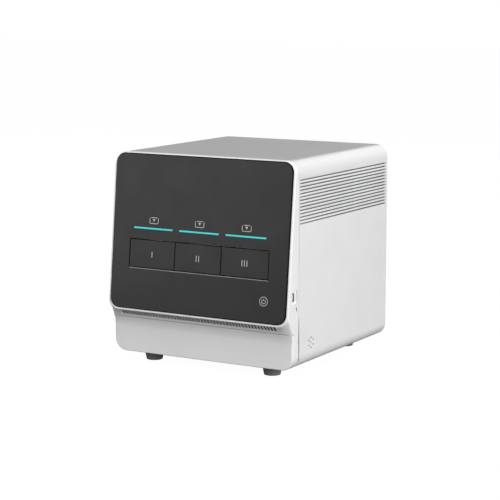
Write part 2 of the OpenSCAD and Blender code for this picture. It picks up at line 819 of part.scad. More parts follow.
module drawer_motors() {
    x0 = rack_w / 2 + 2;
    x1 = x0 + 14;
    color("dimgrey") for (b = [LEFT, MIDDLE, RIGHT]) in_bay(b) difference() {
        union() {
            translate([x0, pinion_y - gearbox_s / 2, pinion_z - gearbox_s / 2])
                cube([14, gearbox_s, gearbox_s]);
            box([x0, pinion_y - gearbox_s / 2, deck_z], [x1, pinion_y + gearbox_s / 2, pinion_z]);
            rod_x(pinion_y, pinion_z, motor_d, x1 - eps, x1 + motor_l);
        }
        rod_x(pinion_y, pinion_z, pinion_shaft_d + 2 * running_gap, x0 - 1, x0 + 10);
    }
}

// Heated lid

module lid_plate(b) {
    color("silver") in_bay(b) translate([-block_w / 2, block_y - block_d / 2, lid_z])
        cube([block_w, block_d, lid_plate_t]);
}

module lid_carrier(b) {
    color("dimgrey") in_bay(b) difference() {
        union() {
            translate([-block_w / 2 - 1, block_y - block_d / 2 - 1, carrier_z])
                cube([block_w + 2, block_d + 2, carrier_t]);
            translate([0, block_y, carrier_z]) cylinder(d = 2.4 * lid_screw_d, h = carrier_t + boss_h);
            guide_places() translate([0, 0, carrier_z])
                cylinder(d = guide_d, h = cage_top - carrier_z + sheet_t + 5);
        }
        translate([0, block_y, carrier_z - 1])
            cylinder(d = lid_screw_d + 2 * running_gap, h = carrier_t + boss_h + 2);
    }
}

module lid_screw(b) {
    color("silver") in_bay(b) translate([0, block_y, boss_z + 4])
        cylinder(d = lid_screw_d, h = cage_top + sheet_t + 8 - boss_z - 4);
}

module lid_motors() {
    color("dimgrey") for (b = [LEFT, MIDDLE, RIGHT]) in_bay(b)
        translate([0, block_y, cage_top + sheet_t]) difference() {
            union() {
                cylinder(d = lid_motor_d, h = lid_motor_h);
                translate([-lid_motor_d / 2, -lid_motor_d / 2, 0]) cube([lid_motor_d, lid_motor_d, 3]);
            }
            translate([0, 0, -1]) cylinder(d = lid_screw_d + 2 * running_gap, h = 10);
        }
}

// Socket, speaker and electronics

module usb_shell() {
    shell_w = usb_open_w - 1.2;
    shell_h = usb_open_h - 1.2;
    back_x = side_x - usb_recess_t - usb_pad_t;
    color("silver") difference() {
        union() {
            box([side_x - usb_recess_t - usb_l, usb_y - shell_w / 2, usb_z - shell_h / 2],
                [side_x - usb_recess_t, usb_y + shell_w / 2, usb_z + shell_h / 2]);
            box([back_x - 1.2, usb_y - usb_open_w / 2 - 2, usb_z - usb_open_h / 2 - 2],
                [back_x, usb_y + usb_open_w / 2 + 2, usb_z + usb_open_h / 2 + 2]);
        }
        box([side_x - usb_recess_t - usb_l + 1, usb_y - shell_w / 2 + 0.4, usb_z - shell_h / 2 + 0.4],
            [side_x + 1, usb_y + shell_w / 2 - 0.4, usb_z + shell_h / 2 - 0.4]);
    }
}

module usb_tongue() {
    color("white") {
        box([side_x - usb_recess_t - usb_l + 1, usb_y - 0.9, usb_z - 5.6],
            [side_x - usb_recess_t - 1.5, usb_y + 0.9, usb_z + 5.6]);
    }
}

module speaker() {
    x1 = side_x - wall_t;
    color("#303030") {
        difference() {
            rod_x(y_front + speaker_set, speaker_z, speaker_d, x1 - 4, x1);
            rod_x(y_front + speaker_set, speaker_z, speaker_d - 5, x1 - 2, x1 + 1);
        }
        rod_x(y_front + speaker_set, speaker_z, speaker_d / 2, x1 - 10, x1 - 4 + eps);
    }
}

module power_supply() {
    x1 = leg_x - sheet_t - leg_gap;
    x0 = x1 - supply_w;
    y1 = foot_ys[1] - 2 * screw_d;
    y0 = y1 - supply_l;
    top = base_top + supply_h;
    vents = floor(supply_w / supply_vent) - 1;
    color("silver") difference() {
        box([x0, y0, base_top], [x1, y1, top]);
        for (i = [1 : vents]) translate([x0 + i * supply_vent, (y0 + y1) / 2, top])
            cube([supply_vent / 3, supply_l / 2, 4], center = true);
        // Step for the terminals
        box([x0 + supply_vent, y0 - 1, base_top + supply_h / 2],
            [x1 - supply_vent, y0 + supply_vent, top + 1]);
    }
}

module main_board() {
    z = base_top + standoff_h;
    color("darkgreen") {
        box([board_x[0], board_y[0], z], [board_x[1], board_y[1], z + board_t]);
        translate([board_x[0], board_y[0], z]) {
            box(board_grid * [1.2, 1.8, 0], board_grid * [5.2, 4.8, 1.8]);
            box(board_grid * [6, 7, 0], board_grid * [9, 10, 0.6]);
            box(board_grid * [0.8, 11, 0], board_grid * [2.8, 17, 1.2]);
            for (y = [12, 13.6, 15.2]) translate(board_grid * [9.8, y, 0])
                cylinder(d = board_grid, h = 2 * board_grid, $fn = 24);
        }
    }
}

// Rear

module grille(x) {
    reach = fan_s / 2 - 4;
    rows = floor((reach - grille_pitch) / grille_pitch);
    for (i = [-rows : rows], s = [-1, 1]) {
        half = sqrt(pow(reach, 2) - pow(i * grille_pitch, 2));
        translate([x + s * (half / 2 + 1), rear_y - sheet_t / 2, fan_z + i * grille_pitch])
            cube([half - 2, 4 * sheet_t, grille_slot], center = true);
    }
}

module rear_screw_places() {
    reach = fan_s / 2 - fan_screw_in;
    for (s = [-1, 1], x = [-reach, reach], z = [-reach, reach])
        translate([s * fan_x + x, 0, fan_z + z]) children();
}

module rear_panel() {
    color("gainsboro") difference() {
        union() {
            intersection() {
                section(wall_t + 0.2, rear_y - sheet_t, rear_y);
                box([-side_x, rear_y - sheet_t, base_top], [side_x, rear_y, z_top]);
            }
            box([-side_x + edge_r + 4, rear_y - rear_flange, base_top],
                [side_x - edge_r - 4, rear_y, base_top + sheet_t]);
        }
        for (s = [-1, 1]) grille(s * fan_x);
        rear_screw_places() rod_y(0, 0, screw_hole, rear_y - 2 * sheet_t, rear_y + 1);
        translate([inlet_x, rear_y, inlet_z]) cube([inlet_w, 4 * sheet_t, inlet_hh], center = true);
        translate([inlet_x - switch_step, rear_y, inlet_z])
            cube([switch_w, 4 * sheet_t, inlet_hh], center = true);
    }
}

module rear_screws() {
    color("silver") rear_screw_places() {
        difference() {
            rod_y(0, 0, 1.8 * screw_d, rear_y, rear_y + 1.2);
            rod_y(0, 0, 0.8 * screw_d, rear_y + 0.6, rear_y + 2);
        }
        rod_y(0, 0, screw_d, rear_y - sheet_t - fan_screw_l, rear_y + 0.1);
    }
}

module fan_frame(s) {
    y1 = rear_y - sheet_t;
    y0 = y1 - fan_t;
    color("#2c2c2c") translate([s * fan_x, 0, fan_z]) difference() {
        union() {
            difference() {
                translate([0, y1, 0]) rotate([90, 0, 0]) linear_extrude(fan_t) round_rect(fan_s, fan_s, 5);
                rod_y(0, 0, fan_s - 5, y0 - 1, y1 + 1);
            }
            rod_y(0, 0, 0.38 * fan_s, y1 - 5, y1 - 0.5);
            for (a = [45, 135]) translate([0, y1 - 3, 0]) rotate([0, a, 0])
                cube([fan_s - 4, 5, 4], center = true);
        }
        rod_y(0, 0, 4 + 2 * running_gap, y0 - 1, y1 - 2);
        for (x = [-1, 1], z = [-1, 1])
            rod_y(x * (fan_s / 2 - fan_screw_in), z * (fan_s / 2 - fan_screw_in),
                  screw_hole, y0 - 1, y1 + 1);
    }
}

module fan_rotor(s) {
    y1 = rear_y - sheet_t - 6.5;
    y0 = rear_y - sheet_t - fan_t + 2;
    hub = 0.38 * fan_s;
    color("#3a3a3a") translate([s * fan_x, 0, fan_z]) {
        rod_y(0, 0, hub, y0, y1);
        rod_y(0, 0, 4, y1 - 1, y1 + 3.5);
        intersection() {
            for (i = [0 : fan_blades - 1]) rotate([0, i * 360 / fan_blades, 0])
                translate([0, (y0 + y1) / 2, fan_s / 4]) rotate([0, 0, 38])
                    cube([20, 1.6, fan_s / 2], center = true);
            difference() {
                rod_y(0, 0, fan_s - 7, y0 + 0.5, y1 - 0.5);
                rod_y(0, 0, hub - 2, y0 - 1, y1 + 1);
            }
        }
    }
}

module power_inlet() {
    color("#202020") translate([inlet_x, rear_y, inlet_z]) {
        difference() {
            union() {
                translate([-inlet_w / 2 - 2, 0, -inlet_hh / 2 - 2]) cube([inlet_w + 4, 1.4, inlet_hh + 4]);
                translate([-inlet_w / 2 + 0.1, -20, -inlet_hh / 2 + 0.1])
                    cube([inlet_w - 0.2, 20.5, inlet_hh - 0.2]);
            }
            translate([-12, -16, -8]) cube([24, 20, 16]);
        }
        for (p = [[-7, -2], [0, 3], [7, -2]]) translate([p[0] - 1, -17, p[1] - 2]) cube([2, 11, 4]);
    }
}

module switch_bezel() {
    color("#202020") translate([inlet_x - switch_step, rear_y, inlet_z]) difference() {
        union() {
            translate([-switch_w / 2 - 2, 0, -inlet_hh / 2 - 2]) cube([switch_w + 4, 1.4, inlet_hh + 4]);
            translate([-switch_w / 2 + 0.1, -14, -inlet_hh / 2 + 0.1])
                cube([switch_w - 0.2, 14.5, inlet_hh - 0.2]);
        }
        translate([-switch_w / 2 + 1.6, -10, -inlet_hh / 2 + 1.2])
            cube([switch_w - 3.2, 20, inlet_hh - 2.4]);
        rod_x(-3, 0, 3 + 2 * running_gap, -switch_w / 2 + 0.6, switch_w / 2 - 0.6);
    }
}

module switch_rocker() {
    color("#181818") translate([inlet_x - switch_step, rear_y - 3, inlet_z])
        rotate([-rocker_swing / 2, 0, 0]) {
            translate([-switch_w / 2 + 2, 0, 0]) rotate([90, 0, 90]) linear_extrude(switch_w - 4)
                polygon([[3, 0], [4.2, -8], [1, -8.4], [-3, -3], [-3, 3], [1, 8.4], [4.2, 8]]);
            rod_x(0, 0, 3, -switch_w / 2 + 0.9, switch_w / 2 - 0.9);
        }
}

wrap_housing();
front_frame();
front_glass();
status_lights();
touch_board();
base_plate();
rubber_feet();
foot_screws();
rear_panel();
rear_screws();
chassis_deck();
air_filters();
usb_shell();
usb_tongue();
speaker();
power_supply();
main_board();
power_inlet();
switch_bezel();
switch_rocker();
fan_frame(LEFT);  // fan_frame_left
fan_frame(RIGHT);  // fan_frame_right
fan_rotor(LEFT);  // fan_rotor_left
fan_rotor(RIGHT);  // fan_rotor_right
bay_cage(LEFT);  // bay_cage_left
bay_cage(MIDDLE);  // bay_cage_middle
bay_cage(RIGHT);  // bay_cage_right
drawer_front(LEFT);  // drawer_front_left
drawer_front(MIDDLE);  // drawer_front_middle
drawer_front(RIGHT);  // drawer_front_right
drawer_tray(LEFT);  // drawer_tray_left
drawer_tray(MIDDLE);  // drawer_tray_middle
drawer_tray(RIGHT);  // drawer_tray_right
sample_block(LEFT);  // sample_block_left
sample_block(MIDDLE);  // sample_block_middle
sample_block(RIGHT);  // sample_block_right
thermoelectrics(LEFT);  // thermoelectrics_left
thermoelectrics(MIDDLE);  // thermoelectrics_middle
thermoelectrics(RIGHT);  // thermoelectrics_right
heat_sink(LEFT);  // heat_sink_left
heat_sink(MIDDLE);  // heat_sink_middle
heat_sink(RIGHT);  // heat_sink_right
drive_pinion(LEFT);  // drive_pinion_left
drive_pinion(MIDDLE);  // drive_pinion_middle
drive_pinion(RIGHT);  // drive_pinion_right
drawer_motors();
lid_plate(LEFT);  // lid_plate_left
lid_plate(MIDDLE);  // lid_plate_middle
lid_plate(RIGHT);  // lid_plate_right
lid_carrier(LEFT);  // lid_carrier_left
lid_carrier(MIDDLE);  // lid_carrier_middle
lid_carrier(RIGHT);  // lid_carrier_right
lid_screw(LEFT);  // lid_screw_left
lid_screw(MIDDLE);  // lid_screw_middle
lid_screw(RIGHT);  // lid_screw_right
lid_motors();
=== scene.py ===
# %% [markdown]
# # A three-bay thermal cycler for the bench
#
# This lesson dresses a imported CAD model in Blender. The solids come in as a frame that stays fixed: every piece made
# here lies where the CAD says, in metres, and rides on one of its bodies, so drawers, lids and fans still move. The
# object is a white box with a dark leaning front. Most of its look comes from soft edges and quiet finishes, so the
# order is a camera, then the finishes, then the softened solids and the small pieces, and light at the end.

# %% Load the frame
import json
import math
import bmesh
import bpy
from mathutils import Matrix, Vector


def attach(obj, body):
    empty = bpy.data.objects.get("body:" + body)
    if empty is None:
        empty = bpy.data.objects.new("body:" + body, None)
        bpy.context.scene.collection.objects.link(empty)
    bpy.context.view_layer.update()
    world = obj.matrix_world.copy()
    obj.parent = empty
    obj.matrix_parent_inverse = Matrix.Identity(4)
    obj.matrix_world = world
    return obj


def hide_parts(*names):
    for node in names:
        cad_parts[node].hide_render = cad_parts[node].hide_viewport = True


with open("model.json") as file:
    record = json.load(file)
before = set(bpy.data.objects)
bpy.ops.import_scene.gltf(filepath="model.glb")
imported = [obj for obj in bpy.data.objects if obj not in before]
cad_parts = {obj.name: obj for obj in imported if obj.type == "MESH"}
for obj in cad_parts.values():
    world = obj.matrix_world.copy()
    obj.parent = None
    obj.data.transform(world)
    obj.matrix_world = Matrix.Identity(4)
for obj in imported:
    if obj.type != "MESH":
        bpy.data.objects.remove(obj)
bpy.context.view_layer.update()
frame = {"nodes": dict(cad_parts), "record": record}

# %% [markdown]
# ## The camera
#
# The photo was taken from the right of the front and a little above it. Its edges were traced back to give the
# camera's place, its aim and its focal length. A camera is made first, because each later choice is judged through
# it.

# %% Camera
camera_at = Vector((1.4802, -2.5349, 0.6508))
camera_aim = Vector((-0.0078, 0.0134, 0.1844))
bpy.ops.object.camera_add(location=camera_at)
camera = bpy.context.object
camera.name = "photo_camera"
camera.rotation_euler = (camera_aim - camera_at).to_track_quat("-Z", "Y").to_euler()
camera.data.sensor_width = 36.0
camera.data.lens = 119.55
camera.data.clip_end = 60.0
bpy.context.scene.camera = camera
bpy.context.scene.view_settings.view_transform = "Standard"

# %% [markdown]
# ## Nodes and colours
#
# A colour picker shows sRGB values, but a shader wants linear ones. One function turns a hex value into linear
# red, green and blue. Another adds a shader node with its settings and links, so a material reads as a short list.

# %% Helpers for materials
def linear(hex_colour):
    """An sRGB hex colour as linear red, green, blue and alpha."""
    channels = [int(hex_colour[i:i + 2], 16) / 255 for i in (1, 3, 5)]
    return tuple(c / 12.92 if c <= 0.04045 else ((c + 0.055) / 1.055) ** 2.4 for c in channels) + (1.0,)


def add_node(tree, kind, inputs=None, **settings):
    """A new shader node. Inputs take a value, or another node's output to link from."""
    node = tree.nodes.new(kind)
    for key, value in settings.items():
        setattr(node, key, value)
    for key, value in (inputs or {}).items():
        if isinstance(value, bpy.types.NodeSocket):
            tree.links.new(value, node.inputs[key])
        else:
            node.inputs[key].default_value = value
    return node


def start_finish(name):
    """An empty material with an output, and its position in metres over the piece."""
    material = bpy.data.materials.new(name)
    material.use_nodes = True
    tree = material.node_tree
    tree.nodes.clear()
    output = add_node(tree, "ShaderNodeOutputMaterial")
    place = add_node(tree, "ShaderNodeTexCoord").outputs["Object"]
    return material, tree, output, place


def blend(tree, share, low, high):
    """Two sRGB colours mixed by a share. Sockets 6 and 7 of the node are its two colours, and output 2 their mix."""
    mix = add_node(tree, "ShaderNodeMix", {0: share}, data_type="RGBA")
    mix.inputs[6].default_value = linear(low)
    mix.inputs[7].default_value = linear(high)
    return mix.outputs[2]


def remap(tree, value, from_low, from_high, to_low, to_high):
    """A value carried over from one range to another."""
    return add_node(tree, "ShaderNodeMapRange", {0: value, 1: from_low, 2: from_high, 3: to_low, 4: to_high}).outputs[0]


def surface(tree, output, inputs):
    """The principled shader with its inputs, linked to the material's output."""
    shader = add_node(tree, "ShaderNodeBsdfPrincipled", inputs)
    tree.links.new(shader.outputs[0], output.inputs[0])


def moulded_finish(name, tint, tint_low, roughness, grain_mm, bump_mm, roughness_spread=0.06, edge_mm=0.0):
    """A paint or moulded surface: fine grain in the bump, slow drift in colour and roughness, rounded edges."""
    material, tree, output, place = start_finish(name)
    grain = add_node(tree, "ShaderNodeTexNoise", {"Vector": place, "Scale": 1000 / grain_mm, "Detail": 3.0})
    drift = add_node(tree, "ShaderNodeTexNoise", {"Vector": place, "Scale": 22.0, "Detail": 4.0})
    rough = remap(tree, drift.outputs[0], 0.3, 0.7, roughness - roughness_spread, roughness + roughness_spread)
    bump = add_node(tree, "ShaderNodeBump", {"Height": grain.outputs[0], "Distance": bump_mm / 1000,
                    "Strength": 0.6})
    surface(tree, output, {"Base Color": blend(tree, drift.outputs[0], tint_low, tint), "Roughness": rough,
                           "Normal": bump.outputs[0]})
    if edge_mm:
        rounded = add_node(tree, "ShaderNodeBevel", {"Radius": edge_mm / 1000}, samples=6)
        tree.links.new(rounded.outputs[0], bump.inputs["Normal"])
    return material


# %% [markdown]
# ## Finishes of the outside
#
# The wrap is folded sheet with a fine textured powder coat: tiny rounded grains about a millimetre apart scatter
# the light, so even a large flat side shows no hard reflection. The front frame is moulded plastic in the same
# white with a finer spark texture. The front panel is a hard-coated dark sheet, smooth but not a mirror.

# %% Outside finishes
powder_coat = moulded_finish("white textured powder coat", "#EAEAEA", "#E4E4E5", 0.38, 1.1, 0.05, edge_mm=0.35)
moulded_abs = moulded_finish("white moulded ABS", "#ECECEB", "#E7E7E7", 0.42, 0.8, 0.03)
panel_coat = moulded_finish("hard-coated dark acrylic", "#2C2C2D", "#292929", 0.36, 1.4, 0.004, 0.03)
panel_coat.node_tree.nodes["Principled BSDF"].inputs["Specular IOR Level"].default_value = 0.18
panel_edge = moulded_finish("black panel edge", "#080808", "#060606", 0.5, 2.0, 0.002, 0.02)
panel_edge.node_tree.nodes["Principled BSDF"].inputs["Specular IOR Level"].default_value = 0.02
# Painted shade: a dark grey on the front's tongue behind the seam, so that the seam's gap reads dark
painted_seam_shade = moulded_finish("painted shade behind the seam", "#4A4A4B", "#3C3C3D", 0.9, 0.5, 0.05)
# Glossier than the moulded ABS, and a touch lighter as a painted highlight along the rim
polished_rim_painted_highlight = moulded_finish("white moulded ABS, polished, with painted highlight", "#EDEDEC", "#E9E9E8", 0.24, 1.2, 0.003, 0.04)
# Painted highlight: a light grey for the chamfer under the drawers, where it would catch the light
painted_chamfer_highlight = moulded_finish("painted highlight on the chamfer", "#A2A3A4", "#8E8F90", 0.30, 0.6, 0.005)
silk_ink = moulded_finish("pale silk-screen ink", "#DADADA", "#C4C4C5", 0.55, 0.4, 0.01)
dark_ink = moulded_finish("dark grey printing ink", "#6E6E70", "#626264", 0.6, 0.4, 0.01)
# Painted shade: a dark grey laid in slots, holes, hollows, the hairline and the drawers' opening, where shade falls
painted_shade = moulded_finish("painted shade, dark grey", "#333334", "#2A2A2B", 0.7, 0.6, 0.02)
filter_foam = moulded_finish("open filter foam", "#5A5A5C", "#48484A", 0.95, 1.2, 0.5)
foot_rubber = moulded_finish("moulded rubber", "#68686A", "#5E5E60", 0.82, 0.9, 0.08)
black_abs = moulded_finish("black moulded ABS", "#1B1B1D", "#161617", 0.48, 0.7, 0.03)
tray_abs = moulded_finish("dark grey moulded ABS", "#3B3C3E", "#333436", 0.5, 0.8, 0.03)
acetal = moulded_finish("natural acetal", "#E6E1D0", "#DDD7C4", 0.35, 0.8, 0.01)
ceramic = moulded_finish("fired alumina ceramic", "#E6E5E0", "#D9D8D2", 0.6, 0.3, 0.01)

# %% [markdown]
# The edge of the wrap along the seam is white, with painted shade low down, where the seam's gap reads dark. Its
# colour therefore follows the height over the bench: a curve gives the share of white, from all of it at 30 mm to none
# between 60 and 85 mm, and back to all of it at 120 mm.

# %% Seam finish, with painted shade low down
# The share of white by height; the rest is painted shade
UNSHADED_AT_HEIGHT = ((0.030, 1.0), (0.060, 0.0), (0.085, 0.0), (0.120, 1.0))


def seam_shade_finish(name, foam, shade_low, white):
    """Painted shade, dark low in the seam, that turns into white paint with the height; its first two colours are the
    shade's.
    """
    material = moulded_finish(name, foam, shade_low, 0.8, 0.5, 0.03)
    tree = material.node_tree
    height = add_node(tree, "ShaderNodeSeparateXYZ", {0: add_node(tree, "ShaderNodeTexCoord").outputs["Object"]})
    share = add_node(tree, "ShaderNodeFloatCurve", {"Value": height.outputs[2]})
    curve = share.mapping.curves[0]
    for at, white_share in UNSHADED_AT_HEIGHT:
        curve.points.new(at, white_share)
    curve.points[0].location = (0.0, 1.0)
    share.mapping.update()
    base_colour = tree.nodes["Principled BSDF"].inputs["Base Color"]
    shade_colour = base_colour.links[0].from_socket
    mix = add_node(tree, "ShaderNodeMix", {0: share.outputs[0]}, data_type="RGBA")
    mix.inputs[7].default_value = linear(white)
    tree.links.new(shade_colour, mix.inputs[6])
    tree.links.new(mix.outputs[2], base_colour)
    return material


seam_edge_painted_shade = seam_shade_finish("white paint with painted shade low down", "#141414", "#101010", "#E7E7E7")


# %% [markdown]
# ## Metals
#
# A metal takes its look from how it was worked. Machined aluminium carries fine parallel tool marks, so its noise
# is stretched along one direction. Zinc-coated sheet shows spangle, patches of crystal a few millimetres wide,
# which a Voronoi texture gives. Both are fully metallic and keep the default IOR.

# %% Metal finishes
def metal_finish(name, bright, dull, roughness, stretch, grain_mm, spangle_mm=0.0):
    """A bare metal with tool marks stretched by three factors, and spangle where its size is given."""
    material, tree, output, place = start_finish(name)
    turned = add_node(tree, "ShaderNodeMapping", {"Vector": place, "Scale": stretch})
    marks = add_node(tree, "ShaderNodeTexNoise", {"Vector": turned.outputs[0], "Scale": 1000 / grain_mm,
                     "Detail": 2.0})
    pattern = marks.outputs[0]
    if spangle_mm:
        pattern = add_node(tree, "ShaderNodeTexVoronoi", {"Vector": place, "Scale": 1000 / spangle_mm}).outputs[1]
        pattern = add_node(tree, "ShaderNodeSeparateColor", {0: pattern}).outputs[0]
    bump = add_node(tree, "ShaderNodeBump", {"Height": marks.outputs[0], "Distance": 0.00002, "Strength": 0.5})
    surface(tree, output, {"Base Color": blend(tree, pattern, dull, bright), "Metallic": 1.0,
                           "Roughness": remap(tree, pattern, 0.2, 0.8, roughness + 0.08, roughness - 0.06),
                           "Normal": bump.outputs[0]})
    return material


milled_aluminium = metal_finish("milled aluminium", "#D4D5D7", "#B9BABC", 0.3, (0.15, 3.0, 3.0), 0.9)
zinc_sheet = metal_finish("zinc-coated sheet", "#C3C6C8", "#A6A9AC", 0.42, (1, 1, 1), 0.8, 6.0)
plated_steel = metal_finish("zinc-plated steel", "#C9CACC", "#AEB0B2", 0.28, (1, 1, 4.0), 0.6)
nickel_shell = metal_finish("nickel-plated steel", "#CFCDC8", "#B9B7B2", 0.22, (1, 3.0, 1), 0.5)
motor_steel = metal_finish("drawn steel can", "#A9ABAE", "#8E9093", 0.32, (1, 1, 0.2), 0.7)

# %% [markdown]
# ## Light bars and boards
#
# A light bar is a frosted guide lit from behind. Its emission is set so that it shows at the colour it has in the
# photo, a little uneven along its length. A circuit board is green varnish over copper tracks: tracks run in
# straight lines, so a brick pattern gives them.

# %% Light bar and board finishes
def lit_guide_finish(name, lit_hex):
    """A frosted guide that glows, a little uneven as light from several diodes is."""
    material, tree, output, place = start_finish(name)
    mottle = add_node(tree, "ShaderNodeTexNoise", {"Vector": place, "Scale": 70.0, "Detail": 1.0})
    surface(tree, output, {"Base Color": linear("#2A8C8C"), "Roughness": 0.5, "Emission Color": linear(lit_hex),
                           "Emission Strength": remap(tree, mottle.outputs[0], 0.3, 0.7, 0.56, 0.68)})
    return material


def board_finish(name):
    """Green varnish over copper tracks that stand a little proud."""
    material, tree, output, place = start_finish(name)
    tracks = add_node(tree, "ShaderNodeTexBrick", {"Vector": place, "Color1": linear("#1E6B3F"),
                      "Color2": linear("#195E37"), "Mortar": linear("#2E8A55"), "Scale": 90.0,
                      "Mortar Size": 0.03})
    bump = add_node(tree, "ShaderNodeBump", {"Height": tracks.outputs[1], "Distance": 0.00008, "Strength": 0.5})
    surface(tree, output, {"Base Color": tracks.outputs[0], "Roughness": 0.3, "Normal": bump.outputs[0]})
    return material


turquoise_guide = lit_guide_finish("lit turquoise guide", "#34E0E2")
green_board = board_finish("varnished circuit board")

# %% [markdown]
# ## Soft edges
#
# A CAD solid has perfectly sharp edges, and no real piece does: a folded sheet, a moulding and a milled block all
# catch a thin line of light along them. Each node is therefore copied, its loose triangles are merged, flat areas
# are joined, and its edges get a small bevel before the normals are weighted by area. The copy stands for the node.
# Four nodes keep the edges they have: the glass is rounded in the CAD, the powder coat rounds the wrap and the rear
# panel in its own shader, and foam needs no bevel.

# %% Dressing a node
def look_at_only(piece):
    """Deselects everything else and makes the piece active."""
    bpy.ops.object.select_all(action="DESELECT")
    piece.select_set(True)
    bpy.context.view_layer.objects.active = piece


def apply_modifier(piece, kind, **settings):
    """Adds a modifier with its settings and applies it."""
    modifier = piece.modifiers.new(kind.lower(), kind)
    for key, value in settings.items():
        setattr(modifier, key, value)
    look_at_only(piece)
    bpy.ops.object.modifier_apply(modifier=modifier.name)


def merged_copy(node, flatten=True):
    """A clean copy of a CAD node's mesh as a piece of its own, its flat areas joined where asked."""
    piece = bpy.data.objects.new(node + "_dressed", frame["nodes"][node].data.copy())
    bpy.context.scene.collection.objects.link(piece)
    piece.data.materials.clear()
    look_at_only(piece)
    bpy.ops.object.mode_set(mode="EDIT")
    bpy.ops.mesh.select_all(action="SELECT")
    bpy.ops.mesh.remove_doubles(threshold=0.000002)
    if flatten:
        bpy.ops.mesh.dissolve_limited(angle_limit=math.radians(0.4))
    bpy.ops.object.mode_set(mode="OBJECT")
    return piece


def soften(piece, edge_mm, smooth_deg=32, segments=2):
    """Bevels the sharp edges and weights the normals so that flat areas stay flat."""
    look_at_only(piece)
    if edge_mm:
        apply_modifier(piece, "BEVEL", width=edge_mm / 1000, segments=segments, limit_method="ANGLE",
                       angle_limit=math.radians(smooth_deg), miter_outer="MITER_ARC", use_clamp_overlap=True)
    bpy.ops.object.shade_smooth_by_angle(angle=math.radians(smooth_deg + 12))
    apply_modifier(piece, "WEIGHTED_NORMAL", keep_sharp=True, weight=60)


def body_of_node(node):
    """The body that carries a CAD node."""
    return next(body for body, members in frame["record"]["behaviour"]["bodies"].items() if node in members)


def dress(node, material, edge_mm=0.3, smooth_deg=32, segments=2, shape=None):
    """A softened copy of a node in its real finish, riding on the node's body."""
    piece = merged_copy(node, flatten=edge_mm > 0)
    piece.data.materials.append(material)
    if shape:
        shape(piece)
    soften(piece, edge_mm, smooth_deg, segments)
    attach(piece, body_of_node(node))
    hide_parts(node)
    return piece


# %% [markdown]
# The moulded front has softer corners than its CAD solid: about 4 mm at the sides of the foot, 7 mm halfway up the
# sweep under the panel, and 1.6 mm along the bottom. A bevel weight on each edge of the outline says how wide its
# rounding is, as a share of 8 mm. The two edges of a hairline, where the halves of the mould meet, are cut too.

# %% Rounding the outline of the front, in metres from the frame's origin
HALF_WIDTH = 0.180
SIDE_X = HALF_WIDTH - 0.0002
CHIN_Y = -0.166
FOOT_TOP_Z = 0.042
ROUNDED_TO_Y = -0.1816
ROUNDED_TO_Z = 0.1062
PARTING_Z = 0.0805
HAIRLINE = 0.0003
SKIN_FRONT_Y, SKIN_BACK_Y = -0.178, -0.1595
BEVEL_WIDTH = 0.008
SAME_HEIGHT = 0.00001
ROUND_AT = ((0.0176, 0.0016), (0.0400, 0.0040), (0.0600, 0.0042),
            (0.0830, 0.0070), (0.0950, 0.0040), (0.1050, 0.0010))


def rounding_at(z):
    """The width of the outline's rounding at a height, between the values given above."""
    for (z0, r0), (z1, r1) in zip(ROUND_AT, ROUND_AT[1:]):
        if z <= z1:
            return r0 + (r1 - r0) * max(0.0, z - z0) / (z1 - z0)
    return 0.0


def outline_edges(mesh):
    """The sharp edges of the outline of the front's lower half, each with its height."""
    found = []
    for edge in mesh.edges:
        _, y, z = (edge.verts[0].co + edge.verts[1].co) / 2
        if len(edge.link_faces) != 2 or z > ROUNDED_TO_Z or edge.calc_face_angle(0) < math.radians(40):
            continue
        at_side = min(abs(vert.co.x) for vert in edge.verts) > SIDE_X and y > ROUNDED_TO_Y
        at_foot = z < FOOT_TOP_Z and max(abs(vert.co.y - CHIN_Y) for vert in edge.verts) < 0.0001
        forward = any(face.normal.y < -0.5 for face in edge.link_faces)
        outward = any(abs(face.normal.y) < 0.2 for face in edge.link_faces)
        if forward and outward and (at_side or at_foot):
            found.append((edge, z))
    return found


def on_side(face):
    """Whether a face lies flat in the left or right side."""
    return abs(face.normal.x) > 0.999 and abs(face.verts[0].co.x) > SIDE_X


def on_skin(face):
    """Whether a face belongs to the outer skin of the chin or the sweep."""
    return SKIN_FRONT_Y < face.calc_center_median().y < SKIN_BACK_Y and face.normal.y < -0.05


def cut_across(mesh, height, wanted):
    """Cuts the wanted faces level, at a height."""
    faces = [face for face in mesh.faces if wanted(face) and min(v.co.z for v in face.verts) < height - SAME_HEIGHT
             and max(v.co.z for v in face.verts) > height + SAME_HEIGHT]
    parts = set(faces) | {e for f in faces for e in f.edges} | {v for f in faces for v in f.verts}
    bmesh.ops.bisect_plane(mesh, geom=list(parts), dist=SAME_HEIGHT / 2, plane_co=(0, 0, height),
                           plane_no=(0, 0, 1))


def level_side_cuts(mesh):
    """Cuts the sides level at each corner of the outline, and joins away the slanting edges between the cuts.

    Each corner that gets rounded then has a level edge to slide along.
    """
    heights = sorted({round(vert.co.z, 5) for edge, _ in outline_edges(mesh) for vert in edge.verts})
    for height in heights:
        cut_across(mesh, height, on_side)
    slanting = [edge for edge in mesh.edges if len(edge.link_faces) == 2 and all(map(on_side, edge.link_faces))
                and abs(edge.verts[0].co.z - edge.verts[1].co.z) > SAME_HEIGHT
                and max(vert.co.z for vert in edge.verts) < heights[-1] + SAME_HEIGHT]
    bmesh.ops.dissolve_edges(mesh, edges=slanting, use_verts=True)


